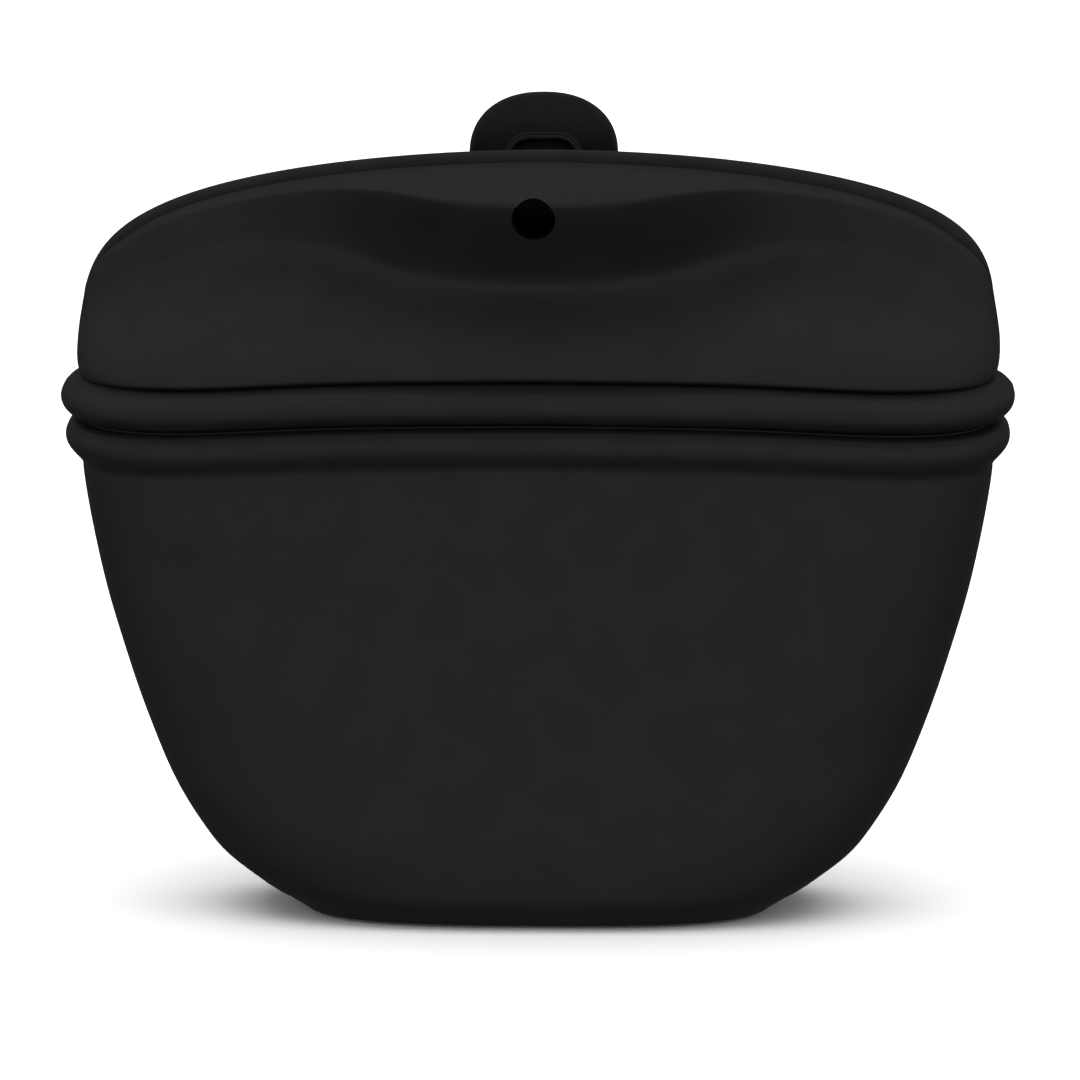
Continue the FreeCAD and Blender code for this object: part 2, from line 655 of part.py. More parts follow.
# ---------------------------------------------------------------- check and write
doc.recompute()
parts = [
    shell, flap, rear_cover, front_cover, base, backing, pin, ring, lever, pad, spring,
]
parts += magnets + screws
for item in doc.Objects:
    if "Invalid" in item.State or "Error" in item.State:
        raise RuntimeError("%s did not rebuild: %s" % (item.Name, item.State))
os.makedirs("parts", exist_ok=True)
for part in parts:
    if part.Shape.isNull() or not part.Shape.isValid():
        raise RuntimeError("%s has no valid shape" % part.Label)
    if len(part.Shape.Solids) != 1:
        raise RuntimeError("%s has %d solids" % (part.Label, len(part.Shape.Solids)))
    part.Shape.exportStep("parts/%s.step" % part.Label)
    box = part.Shape.BoundBox
    print("%-24s %8.1f mm3  x %6.1f %6.1f  y %6.1f %6.1f  z %6.1f %6.1f" % (
        part.Label, part.Shape.Volume, box.XMin, box.XMax, box.YMin, box.YMax, box.ZMin, box.ZMax))
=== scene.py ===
import math

import bmesh
import bpy
import numpy as np
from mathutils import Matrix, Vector


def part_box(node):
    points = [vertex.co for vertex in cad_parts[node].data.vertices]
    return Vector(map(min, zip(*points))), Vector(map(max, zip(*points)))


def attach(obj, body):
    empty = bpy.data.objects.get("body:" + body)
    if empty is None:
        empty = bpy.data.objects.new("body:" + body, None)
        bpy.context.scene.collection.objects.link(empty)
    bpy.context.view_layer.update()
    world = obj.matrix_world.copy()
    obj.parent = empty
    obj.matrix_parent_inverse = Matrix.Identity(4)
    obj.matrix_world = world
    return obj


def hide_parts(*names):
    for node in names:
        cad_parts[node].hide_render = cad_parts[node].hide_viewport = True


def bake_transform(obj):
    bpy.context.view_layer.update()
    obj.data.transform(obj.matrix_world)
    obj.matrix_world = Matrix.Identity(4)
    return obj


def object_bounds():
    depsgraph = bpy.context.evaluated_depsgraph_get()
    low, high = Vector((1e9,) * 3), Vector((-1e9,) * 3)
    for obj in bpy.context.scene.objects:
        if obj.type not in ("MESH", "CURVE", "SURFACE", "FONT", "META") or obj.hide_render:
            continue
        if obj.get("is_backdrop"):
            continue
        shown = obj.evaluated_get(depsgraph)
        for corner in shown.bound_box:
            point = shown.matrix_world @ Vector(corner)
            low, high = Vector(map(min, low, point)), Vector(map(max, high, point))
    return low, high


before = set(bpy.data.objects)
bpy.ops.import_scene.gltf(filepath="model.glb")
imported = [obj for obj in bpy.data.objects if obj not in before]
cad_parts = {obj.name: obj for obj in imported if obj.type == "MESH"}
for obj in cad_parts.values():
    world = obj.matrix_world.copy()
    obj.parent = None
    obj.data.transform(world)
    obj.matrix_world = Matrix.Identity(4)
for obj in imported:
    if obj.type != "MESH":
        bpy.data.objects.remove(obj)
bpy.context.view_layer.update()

MM = 0.001

# ---------------------------------------------------------------- sizes of the moulding, in millimetres
COLUMNS = 360                  # grid columns round the pouch; half of them in front
HALF = COLUMNS // 2
CREASE_LEVEL = 78.3            # where the panels leave the upper rib
CREASE_HALF_WIDTH = 65.3
CREASE_HALF_DEPTH = 24.3
CREASE_POWER = 3.2             # roundness of the plan at the crease: 2 is an ellipse, more is squarer
ARCH_HALF_WIDTH = 65.0
ARCH_FOOT = 80.0
ARCH_HEIGHT = 29.2
ARCH_END = 64.62               # the arch is drawn between these two ends
ARCH_FALL = 1.9                # how late the arch starts to fall away from its middle
ARCH_SHOULDER = 4.0            # how tight its shoulders are
FRONT_LIP_DROP = 1.6           # the front lip lies this much inside the rear one
WALL = 2.1                     # silicone of the cup
LEANING_WALL = 2.8             # silicone of the panels, measured along the depth
SEAM_HALF_GAP = 0.14


def spline(knots, values, at):
    """Natural cubic spline through the knots, evaluated at an array of places."""
    x = np.asarray(knots, float)
    y = np.asarray(values, float)
    n = len(x)
    step = np.diff(x)
    matrix = np.zeros((n, n))
    right = np.zeros(n)
    matrix[0, 0] = matrix[-1, -1] = 1.0
    for i in range(1, n - 1):
        matrix[i, i - 1] = step[i - 1]
        matrix[i, i] = 2 * (step[i - 1] + step[i])
        matrix[i, i + 1] = step[i]
        right[i] = 6 * ((y[i + 1] - y[i]) / step[i] - (y[i] - y[i - 1]) / step[i - 1])
    bend = np.linalg.solve(matrix, right)
    at = np.clip(np.asarray(at, float), x[0], x[-1])
    i = np.clip(np.searchsorted(x, at, side="right") - 1, 0, n - 2)
    h = step[i]
    a = (x[i + 1] - at) / h
    b = (at - x[i]) / h
    return a * y[i] + b * y[i + 1] + ((a ** 3 - a) * bend[i] + (b ** 3 - b) * bend[i + 1]) * h * h / 6


def smooth(t):
    t = np.clip(t, 0.0, 1.0)
    return t * t * (3 - 2 * t)


def signed_power(v, p):
    return np.sign(v) * np.abs(v) ** p


# ---------------------------------------------------------------- plan angle of each grid column
def plan(angle, half_width, half_depth, power):
    """Point of a rounded plan section; angle 0 is the +X end and a quarter turn is the front."""
    x = half_width * signed_power(np.cos(angle), 2 / power)
    y = -half_depth * signed_power(np.sin(angle), 2 / power)
    return x, y


dense = np.linspace(0, math.pi, 4001)
dense_x, dense_y = plan(dense, CREASE_HALF_WIDTH, CREASE_HALF_DEPTH, CREASE_POWER)
dense_length = np.concatenate([[0], np.cumsum(np.hypot(np.diff(dense_x), np.diff(dense_y)))])
PLAN_HALF_LENGTH = dense_length[-1]
half_angles = np.interp(np.linspace(0, PLAN_HALF_LENGTH, HALF + 1), dense_length, dense)
angles = np.concatenate([half_angles[:-1], math.pi + half_angles[:-1]])
# Distance of each column from the nearer end of the mouth, along the crease
along = np.linspace(0, PLAN_HALF_LENGTH, HALF + 1)[:-1]
along = np.concatenate([along, along])
from_end = np.minimum(along, PLAN_HALF_LENGTH - along)

# The ribs dip at the front corners and rise in the middle of the front.
RIB_RISE_AT = [0, 8.6, 17, 24, 47, 64, PLAN_HALF_LENGTH / 2]
RIB_RISE = [0, -0.8, -1.35, -1.4, -0.15, 0.3, 0.45]
rib_rise = spline(RIB_RISE_AT, RIB_RISE, from_end)

# ---------------------------------------------------------------- the cup and its ribs
# level, half width, half depth at the front, plan power
CUP = np.array([
    (0, 29.4, 14.0, 3),
    (0.35, 32.0, 15.8, 2.95),
    (1.4, 34.5, 17.3, 2.9),
    (3.2, 37.4, 19.1, 2.85),
    (5.5, 40.8, 20.4, 2.85),
    (8.9, 45.1, 21.2, 2.85),
    (12.3, 47.9, 21.8, 2.85),
    (15.7, 50.1, 22.1, 2.9),
    (19.1, 52.0, 22.3, 2.9),
    (25.9, 54.9, 22.6, 2.9),
    (32.7, 57.3, 22.9, 3),
    (39.5, 59.4, 23.2, 3.05),
    (46.2, 61.3, 23.4, 3.1),
    (53, 62.8, 23.6, 3.15),
    (59.8, 64.0, 23.9, 3.2),
    (66, 64.8, 24.1, 3.2),
    (72, 65.1, 24.2, 3.2),
    (78.3, 65.3, 24.3, 3.2),
])
# Rib section: level and how far it stands out of the wall.
RIBS = np.array([
    (65.2, 0.00), (66.3, 0.05), (67.0, 0.45), (67.9, 1.20), (69.0, 1.90), (69.9, 2.08), (70.8, 1.85),
    (71.6, 1.25), (72.15, 0.40), (72.45, -0.45), (72.75, 0.35), (73.3, 1.35), (74.1, 2.10), (75.1, 2.50),
    (76.1, 2.35), (77.0, 1.60), (77.7, 0.75), (78.1, 0.0), (78.3, -0.55),
])


def cup_level(level, inset=0.0, standout=0.0, rise=1.0):
    """One row of the cup's grid."""
    half_width = spline(CUP[:, 0], CUP[:, 1], level) + standout - inset
    half_depth = spline(CUP[:, 0], CUP[:, 2], level) + standout - inset
    power = spline(CUP[:, 0], CUP[:, 3], level)
    x, y = plan(angles, half_width, half_depth, power)
    return np.stack([x, y, level + rib_rise * rise * np.ones(COLUMNS)], axis=-1)


RISE_FROM = 46.0               # the rise and dip of the ribs fades in above this level
RISE_FADE = 22.0


def rib_share(level):
    """How much of the ribs' rise and dip a level of the cup takes part in."""
    return float(smooth((level - RISE_FROM) / RISE_FADE))


def shrunk_rows(row, shares):
    """Copies of a row drawn in towards the middle, for the flat underside and the flat inner floor."""
    rows = []
    for share in shares:
        smaller = row.copy()
        smaller[:, :2] *= share
        rows.append(smaller)
    return rows


outer_rows = shrunk_rows(cup_level(0.0, rise=0.0), (0.25, 0.5, 0.75, 0.92))
base_edge_levels = CUP[1, 0] * np.linspace(0, 1, 4) ** 1.5
for level in list(base_edge_levels) + list(np.linspace(0.6, 65.0, 66)):
    outer_rows.append(cup_level(level, rise=rib_share(level)))
GROOVE_DEPTH = 1.1             # extra depth of the crease above the upper rib, away from the pouch's ends
GROOVE_BELOW = 0.55            # height over which it opens out below the crease
GROOVE_ABOVE = 0.35            # height over which its upper side comes back out, just above the crease
GROOVE_FADE = 9.0              # height over which the panel above it runs back to its own depth
groove_share = smooth((from_end - 6.0) / 20.0)
for level in np.linspace(RIBS[0, 0], CREASE_LEVEL, 67)[:-1]:
    bulge = float(spline(RIBS[:, 0], RIBS[:, 1], level))
    groove = GROOVE_DEPTH * math.exp(-((CREASE_LEVEL - level) / GROOVE_BELOW) ** 2)
    outer_rows.append(cup_level(level, standout=bulge - groove * groove_share, rise=rib_share(level)))
crease = cup_level(CREASE_LEVEL, standout=RIBS[-1, 1] - GROOVE_DEPTH * groove_share)

# ---------------------------------------------------------------- the mouth's arch
arch_x = np.linspace(-ARCH_END, ARCH_END, 2001)[::-1]
arch_fall = 1 - (np.abs(arch_x) / ARCH_HALF_WIDTH) ** ARCH_FALL
arch_z = ARCH_FOOT + ARCH_HEIGHT * arch_fall ** (1 / ARCH_SHOULDER)
arch = np.stack([arch_x, arch_z], axis=-1)
arch_length = np.concatenate([[0], np.cumsum(np.linalg.norm(np.diff(arch, axis=0), axis=1))])
tangent = np.gradient(arch, axis=0)
tangent /= np.linalg.norm(tangent, axis=1)[:, None]
arch_normal = np.stack([-tangent[:, 1], tangent[:, 0]], axis=-1)
arch_normal *= np.sign(arch_normal[:, 1:2] + 1e-9)

# Columns stay upright over the middle of the mouth and crowd together over its shoulders.
SHOULDER_X = 50.0
CROWDING = 1.12                # columns draw closer together towards the mouth's ends
shoulder_plan = float(np.interp(-SHOULDER_X, -dense_x[:2001], dense_length[:2001]))
shoulder_arch = float(np.interp(-SHOULDER_X, -arch_x, arch_length))
column_x = plan(angles, CREASE_HALF_WIDTH, CREASE_HALF_DEPTH, CREASE_POWER)[0]
upright = np.interp(-np.abs(column_x), -arch_x[:1001], arch_length[:1001])
crowded = shoulder_arch * (from_end / shoulder_plan) ** CROWDING
mix = smooth((from_end - shoulder_plan * 0.55) / (shoulder_plan * 0.75))
arch_at = crowded * (1 - mix) + upright * mix
arch_at = np.where(column_x >= 0, arch_at, arch_length[-1] - arch_at)
is_front = np.arange(COLUMNS) < HALF
END_FADE = 9.0                 # the two lips run together over this distance from the mouth's ends
LIP_DROP_FADE = 16.0
end_fade = smooth(from_end / END_FADE)


def on_arch(drop):
    """Point of the arch for each column, moved inwards by a drop that fades at the mouth's ends."""
    inwards = drop * smooth(from_end / LIP_DROP_FADE)
    place = []
    for k in (0, 1):
        towards_edge = np.interp(arch_at, arch_length, arch_normal[:, k])
        place.append(np.interp(arch_at, arch_length, arch[:, k]) - inwards * towards_edge)
    return place


front_x, front_z = on_arch(FRONT_LIP_DROP)
rear_x, rear_z = on_arch(0.0)
lip_z = np.where(is_front, front_z, rear_z)
# The arch leans a little to one side, the rear lip more than the front one.
FRONT_LEAN = 0.8
REAR_LEAN = 1.3
LEAN_FROM = 88.0
LEAN_HEIGHT = 20.0
lean_share = (np.clip(lip_z - LEAN_FROM, 0, None) / LEAN_HEIGHT) ** 1.2
lean = np.where(is_front, FRONT_LEAN, REAR_LEAN) * lean_share
lip_x = np.where(is_front, front_x, rear_x) + lean
facing = np.where(is_front, -1.0, 1.0)
END_EDGE_DEPTH = 0.15          # depth of each lip's edge at the mouth's ends and over its middle
EDGE_DEPTH = 1.0
lip_y = facing * (END_EDGE_DEPTH + (EDGE_DEPTH - END_EDGE_DEPTH) * end_fade)
lip = np.stack([lip_x, lip_y, lip_z], axis=-1)


def bezier(p0, p1, p2, p3, t):
    return (1 - t) ** 3 * p0 + 3 * (1 - t) ** 2 * t * p1 + 3 * (1 - t) * t * t * p2 + t ** 3 * p3


# Each column of a panel runs crease, hollow, ridge, lip. The hollow and the ridge are given by how far
# below the lip they lie and by their share of the crease's depth, for distances from the middle. In the
# middle of the front the ridge stands far out as a flared lip; elsewhere it is a slight thickening.
across = np.abs(lip_x - lean)
STATIONS = [0, 12, 20, 28, 36, 44, 52, 66]
FRONT_RIDGE_DROP = [4.0, 3.3, 2.1, 1.45, 1.3, 1.35, 1.4, 1.5]
FRONT_HOLLOW_DROP = [16.2, 15.3, 13.4, 10.6, 8.2, 7.0, 6.2, 6.0]
FRONT_RIDGE_SHARE = [1.12, 1.04, 0.79, 0.46, 0.27, 0.185, 0.155, 0.14]
FRONT_HOLLOW_SHARE = [0.69, 0.66, 0.51, 0.315, 0.195, 0.145, 0.145, 0.15]
REAR_RIDGE_DROP = 1.5
REAR_HOLLOW_DROP = 6.0
REAR_RIDGE_SHARE = 0.13
REAR_HOLLOW_SHARE = 0.16
RIDGE_DROP_LIMIT = 0.15        # of the panel's height
HOLLOW_DROP_LIMIT = 0.62
panel_height = lip[:, 2] - crease[:, 2]
ridge_drop = np.where(is_front, spline(STATIONS, FRONT_RIDGE_DROP, across), REAR_RIDGE_DROP)
ridge_level = lip[:, 2] - np.minimum(ridge_drop, RIDGE_DROP_LIMIT * panel_height)
hollow_drop = np.where(is_front, spline(STATIONS, FRONT_HOLLOW_DROP, across), REAR_HOLLOW_DROP)
hollow_level = lip[:, 2] - np.minimum(hollow_drop, HOLLOW_DROP_LIMIT * panel_height)
edge_depth = np.abs(lip_y)
crease_depth = np.abs(crease[:, 1])
spare_depth = np.maximum(crease_depth - edge_depth, 0.0)
ridge_share = np.where(is_front, spline(STATIONS, FRONT_RIDGE_SHARE, across), REAR_RIDGE_SHARE)
hollow_share = np.where(is_front, spline(STATIONS, FRONT_HOLLOW_SHARE, across), REAR_HOLLOW_SHARE)
ridge_depth = edge_depth + spare_depth * ridge_share
hollow_depth = edge_depth + spare_depth * hollow_share
SHOULDER_SWELL = 1.0           # the panels bulge sideways this much near the mouth's ends
SHOULDER_REACH = 30.0
shoulder_share = 1 - smooth(from_end / SHOULDER_REACH)


def section(start, end, rise_out, rise_in, t):
    """Depth and level along a curve that leaves its start and meets its end with the given handles."""
    out = np.stack([start[0] + rise_out[0], start[1] + rise_out[1]])
    back = np.stack([end[0] - rise_in[0], end[1] - rise_in[1]])
    return bezier(np.stack(start), out, back, np.stack(end), t)


def panel_row(stage):
    """One row of the two leaning panels: stage 0 crease, 1 hollow, 2 ridge, 3 lip."""
    low = min(int(stage), 2)
    t = stage - low
    foot = (crease_depth, crease[:, 2])
    hollow = (hollow_depth, hollow_level)
    ridge = (ridge_depth, ridge_level)
    top = (edge_depth, lip[:, 2])
    first_rise = hollow_level - crease[:, 2]
    second_rise = ridge_level - hollow_level
    third_rise = lip[:, 2] - ridge_level
    still = np.zeros(COLUMNS)
    if low == 0:
        leave = (0.5 * end_fade, 0.40 * first_rise)
        depth, level = section(foot, hollow, leave, (still, 0.22 * first_rise), t)
    elif low == 1:
        depth, level = section(hollow, ridge, (still, 0.20 * second_rise), (still, 0.10 * second_rise), t)
    else:
        arrive = (-0.5 * (ridge_depth - edge_depth), 0.2 * third_rise)
        depth, level = section(ridge, top, (still, 0.42 * third_rise), arrive, t)
    height = level - crease[:, 2]
    groove_end = (1 - np.exp(-height / GROOVE_ABOVE)) * np.exp(-height / GROOVE_FADE)
    depth = depth + GROOVE_DEPTH * groove_share * groove_end
    up = np.clip(height / panel_height, 0, 1)
    x = crease[:, 0] + (lip[:, 0] - crease[:, 0]) * smooth(up)
    x = x + np.sign(crease[:, 0]) * SHOULDER_SWELL * np.sin(math.pi * up ** 0.6) * shoulder_share
    return np.stack([x, facing * depth, level], axis=-1)


outer_rows.append(crease)
to_hollow = np.linspace(0.0, 1.0, 53)[1:-1] ** 1.35
to_ridge = np.linspace(1.0, 1.96, 28)
to_lip = np.linspace(2.0, 3.0, 27)
for stage in np.concatenate([to_hollow, to_ridge, to_lip]):
    outer_rows.append(panel_row(float(stage)))

# ---------------------------------------------------------------- lip edges and the inner side
EDGE_ROLL = 0.85               # how far the rounded edge of a lip rolls down to its sealing face
for turn in (0.25, 0.5, 0.75, 1.0):
    angle = turn * math.pi / 2
    row = lip.copy()
    edge = np.abs(lip_y) - SEAM_HALF_GAP * end_fade
    row[:, 1] = facing * (np.abs(lip_y) - edge * math.sin(angle))
    row[:, 2] = lip[:, 2] - EDGE_ROLL * end_fade * (1 - math.cos(angle))
    outer_rows.append(row)

CREASE_THICKENING = 0.3
inner_crease = cup_level(CREASE_LEVEL, inset=WALL + CREASE_THICKENING)
FRONT_SEAL_LOW = 95.4          # lower edges of the two flat sealing faces over the middle of the mouth
REAR_SEAL_LOW = 100.5
SEAL_SHARE = 0.42              # most of the panel's height that a sealing face takes near the ends
SEAL_LEAST = 2.2
seal_height = lip[:, 2] - np.where(is_front, FRONT_SEAL_LOW, REAR_SEAL_LOW)
seal_height = np.minimum(seal_height, SEAL_SHARE * panel_height)
seal_height = np.maximum(seal_height, SEAL_LEAST * end_fade)
seal_top = outer_rows[-1]
seal_low = seal_top.copy()
seal_low[:, 2] -= seal_height
for share in np.linspace(0, 1, 13)[1:]:
    outer_rows.append(seal_top + (seal_low - seal_top) * share)

# Below the sealing faces the inside follows the outside, a wall's thickness behind it.
outside = np.array([panel_row(float(stage)) for stage in np.linspace(0, 3, 121)])
SHELF_HEIGHT = 0.9             # height of the rounded shelf under a sealing face
WALL_CHANGE = 0.3              # the wall changes to the cup's thickness over this last share of the way


def inside_row(share):
    """Inner row at a share of the way from the sealing face down to the crease."""
    level = (seal_low[:, 2] - SHELF_HEIGHT * end_fade) * (1 - share) + inner_crease[:, 2] * share
    row = np.zeros((COLUMNS, 3))
    for column in range(COLUMNS):
        below = outside[:, column]
        out_x = np.interp(level[column], below[:, 2], below[:, 0])
        out_depth = abs(np.interp(level[column], below[:, 2], below[:, 1]))
        crease_wall = crease_depth[column] - abs(inner_crease[column, 1])
        wall = crease_wall + (LEANING_WALL - crease_wall) * min(1.0, (1 - share) / WALL_CHANGE)
        depth = max(out_depth - wall, 0.3 * out_depth)
        if share == 1.0:
            depth = abs(inner_crease[column, 1])
        row[column] = (out_x + (inner_crease[column, 0] - crease[column, 0]) * share ** 0.5,
                       facing[column] * depth, level[column])
    return row


first_inside = inside_row(0.0)
for turn in (0.2, 0.4, 0.6, 0.8, 0.93):
    angle = turn * math.pi / 2
    row = seal_low + (first_inside - seal_low) * math.sin(angle)
    row[:, 2] = seal_low[:, 2] + (first_inside[:, 2] - seal_low[:, 2]) * (1 - math.cos(angle))
    outer_rows.append(row)
for share in np.linspace(0, 1, 25):
    outer_rows.append(inside_row(float(share)))
for level in np.linspace(CREASE_LEVEL, 5.0, 40)[1:]:
    outer_rows.append(cup_level(level, inset=WALL, rise=rib_share(level)))
# The inner floor's rounded edge: level and distance in from the outside.
FLOOR_EDGE = ((3.9, 2.6), (3.1, 4.0), (2.7, 6.5), (2.6, 9.5))
for level, inset in FLOOR_EDGE:
    outer_rows.append(cup_level(level, inset=inset, rise=0.0))
outer_rows.extend(shrunk_rows(outer_rows[-1], (0.75, 0.5, 0.25)))


# ---------------------------------------------------------------- build the skin
def grid_mesh(name, rows):
    """Closed mesh through rings of points, with a single point at each end."""
    rows = np.array(rows)
    count, columns = rows.shape[:2]
    ends = [rows[0].mean(axis=0), rows[-1].mean(axis=0)]
    verts = np.concatenate([rows.reshape(-1, 3), np.array(ends)]) * MM
    faces = []
    for i in range(count - 1):
        for j in range(columns):
            k = (j + 1) % columns
            faces.append((i * columns + j, i * columns + k, (i + 1) * columns + k, (i + 1) * columns + j))
    first, last = count * columns, count * columns + 1
    for j in range(columns):
        k = (j + 1) % columns
        faces.append((first, k, j))
        faces.append((last, (count - 1) * columns + j, (count - 1) * columns + k))
    mesh = bpy.data.meshes.new(name)
    mesh.from_pydata([tuple(v) for v in verts], [], faces)
    mesh.update()
    piece = bpy.data.objects.new(name, mesh)
    bpy.context.scene.collection.objects.link(piece)
    bm = bmesh.new()
    bm.from_mesh(mesh)
    bmesh.ops.recalc_face_normals(bm, faces=bm.faces)
    bm.to_mesh(mesh)
    bm.free()
    mesh.polygons.foreach_set("use_smooth", [True] * len(mesh.polygons))
    return piece


skin = grid_mesh("silicone_pouch", outer_rows)


# ---------------------------------------------------------------- small solid shapes
AXES = {"x": (0, 1, 2), "y": (1, 0, 2)}


def prism(outline, along, start, stop, edge=0.0, segments=3):
    """Mesh of a closed outline pushed along an axis, with its sharp edges rounded. Millimetres."""
    main, across_axis, up_axis = AXES[along]
    bm = bmesh.new()
    ring = []
    for across_value, up_value in outline:
        spot = [0.0, 0.0, 0.0]
        spot[main], spot[across_axis], spot[up_axis] = start * MM, across_value * MM, up_value * MM
        ring.append(bm.verts.new(spot))
    face = bm.faces.new(ring)
    moved = bmesh.ops.extrude_face_region(bm, geom=[face])["geom"]
    shift = [0.0, 0.0, 0.0]
    shift[main] = (stop - start) * MM
    bmesh.ops.translate(bm, verts=[v for v in moved if isinstance(v, bmesh.types.BMVert)], vec=shift)
    bmesh.ops.recalc_face_normals(bm, faces=bm.faces)
    if edge:
        sharp = [e for e in bm.edges if e.calc_face_angle(0.0) > 0.5]
        bmesh.ops.bevel(bm, geom=sharp, offset=edge * MM, segments=segments, profile=0.5, affect="EDGES")
    mesh = bpy.data.meshes.new("prism")
    bm.to_mesh(mesh)
    bm.free()
    return mesh


def block(low, high):
    """Box between two corners."""
    outline = [(low[1], low[2]), (high[1], low[2]), (high[1], high[2]), (low[1], high[2])]
    return prism(outline, "x", low[0], high[0])


def round_outline(centre, radius, sides=48):
    """Points of a circle in the plane across a prism's axis."""
    turns = np.linspace(0, 2 * math.pi, sides, endpoint=False)
    return [(centre[0] + radius * math.cos(a), centre[1] + radius * math.sin(a)) for a in turns]


def rounded_rectangle(half_width, low, high, radius, steps=8):
    """Corner arcs of an upright rectangle centred on x = 0."""
    points = []
    corners = ((1, high, 0.0), (-1, high, 0.5), (-1, low, 1.0), (1, low, 1.5))
    for side, level, start in corners:
        inwards = -radius if level == high else radius
        for k in range(steps + 1):
            a = math.pi * (start + 0.5 * k / steps)
            points.append((side * (half_width - radius) + radius * math.cos(a),
                           level + inwards + radius * math.sin(a)))
    return points


def add_object(name, meshes):
    """One object out of several closed meshes."""
    bm = bmesh.new()
    for mesh in meshes:
        bm.from_mesh(mesh)
    joined = bpy.data.meshes.new(name)
    bm.to_mesh(joined)
    bm.free()
    piece = bpy.data.objects.new(name, joined)
    bpy.context.scene.collection.objects.link(piece)
    return piece


def cut(piece, meshes):
    """Take closed meshes out of a piece for good."""
    tool = add_object("cutting_tool", meshes)
    modifier = piece.modifiers.new("cut", "BOOLEAN")
    modifier.operation = "DIFFERENCE"
    modifier.solver = "EXACT"
    modifier.object = tool
    bpy.context.view_layer.update()
    result = bpy.data.meshes.new_from_object(piece.evaluated_get(bpy.context.evaluated_depsgraph_get()))
    piece.modifiers.clear()
    piece.data = result
    bpy.data.objects.remove(tool)


def soften(piece, degrees=35.0):
    """Smooth shading, with hard lines kept where faces meet steeply."""
    mesh = piece.data
    mesh.polygons.foreach_set("use_smooth", [True] * len(mesh.polygons))
    mesh.set_sharp_from_angle(angle=math.radians(degrees))


def corners_mm(name):
    """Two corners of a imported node's box, in millimetres."""
    low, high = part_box(name)
    return [v / MM for v in low], [v / MM for v in high]


# ---------------------------------------------------------------- hole and strip beds in the skin
HOLE_RADIUS = 3.0
HOLE_LEVEL = 101.6
HOLE_FROM = -34.0              # the hole is cut from well in front of the lip to just before the seam
HOLE_TO = -1.0
BED_ROOM = 0.1                 # room around each strip in its bed
hole_tool = prism(round_outline((0.0, HOLE_LEVEL), HOLE_RADIUS, 72), "y", HOLE_FROM, HOLE_TO)
beds = []
for strip in ("front_magnet_cover", "rear_magnet_cover"):
    low, high = corners_mm(strip)
    low = [v - BED_ROOM for v in low]
    high = [v + BED_ROOM for v in high]
    if strip.startswith("front"):
        high[1] = 0.0
    else:
        low[1] = 0.0
    beds.append(block(low, high))
cut(skin, beds)
cut(skin, [hole_tool])
soften(skin, 50.0)

# ---------------------------------------------------------------- moving part of the clip
lever_low, lever_high = corners_mm("clip_lever")
pin_low, pin_high = corners_mm("clip_hinge_pin")
pad_low, pad_high = corners_mm("clip_jaw_pad")
PIN_Y = (pin_low[1] + pin_high[1]) / 2
PIN_Z = (pin_low[2] + pin_high[2]) / 2
LEVER_FRONT = PIN_Y
LEVER_BACK = PIN_Y + 2.6       # thickness of the lever's plate
LEVER_EDGE = 0.6
TAB_HALF_WIDTH = 11.0
TAB_DOME = 9.2
DOME_POWER = 2.25
NECK_HALF_WIDTH = 9.3
JAW_HALF_WIDTH = lever_high[0]
JAW_CORNER = 5.0
# Where the width changes: from level, to level, from half width, to half width.
WIDTH_CHANGES = (
    (44.0, 49.5, JAW_HALF_WIDTH, NECK_HALF_WIDTH),
    (76.0, 82.0, NECK_HALF_WIDTH, TAB_HALF_WIDTH),
)
KNUCKLE_RADIUS = 3.6
KNUCKLE_INNER = 5.6
WINDOW_HALF_WIDTH = 4.6
WINDOW_TOP = lever_high[2] - 7.1
WINDOW_LOW = 88.0
RIM_WIDTH = 1.0
RIM_HEIGHT = 0.9
RIM_EDGE = 0.35
WINDOW_DEPTH = 1.4
WINDOW_CORNER = 2.6
SPRING_ROOM = 0.6              # gap above and below the knuckles, for the spring
OVERLAP = 0.5                  # how far a raised detail starts inside the plate


def lever_outline():
    """Outline of the lever seen from behind: round-cornered jaw, narrower neck and domed thumb tab."""
    side = [(0.0, lever_low[2])]
    for k in range(9):
        a = math.pi / 2 * k / 8
        side.append((JAW_HALF_WIDTH - JAW_CORNER + JAW_CORNER * math.sin(a),
                     lever_low[2] + JAW_CORNER - JAW_CORNER * math.cos(a)))
    for low_level, high_level, from_width, to_width in WIDTH_CHANGES:
        for k in range(11):
            t = k / 10
            side.append((from_width + (to_width - from_width) * float(smooth(t)),
                         low_level + (high_level - low_level) * t))
    for k in range(25):
        a = math.pi / 2 * k / 24
        side.append((TAB_HALF_WIDTH * math.cos(a) ** (2 / DOME_POWER),
                     lever_high[2] - TAB_DOME + TAB_DOME * math.sin(a) ** (2 / DOME_POWER)))
    side[-1] = (0.0, lever_high[2])
    return side + [(-x, z) for x, z in side[-2:0:-1]]


def frame_ring(outer, inner, section_steps):
    """Raised rim between two outlines with equally many points; its section is a list of (mix, y)."""
    bm = bmesh.new()
    rings = []
    for mix, y in section_steps:
        ring = []
        for far, near in zip(outer, inner):
            x = far[0] + (near[0] - far[0]) * mix
            z = far[1] + (near[1] - far[1]) * mix
            ring.append(bm.verts.new((x * MM, y * MM, z * MM)))
        rings.append(ring)
    count = len(outer)
    for k, ring in enumerate(rings):
        following = rings[(k + 1) % len(rings)]
        for j in range(count):
            n = (j + 1) % count
            bm.faces.new((ring[j], ring[n], following[n], following[j]))
    bmesh.ops.recalc_face_normals(bm, faces=bm.faces)
    mesh = bpy.data.meshes.new("rim")
    bm.to_mesh(mesh)
    bm.free()
    return mesh


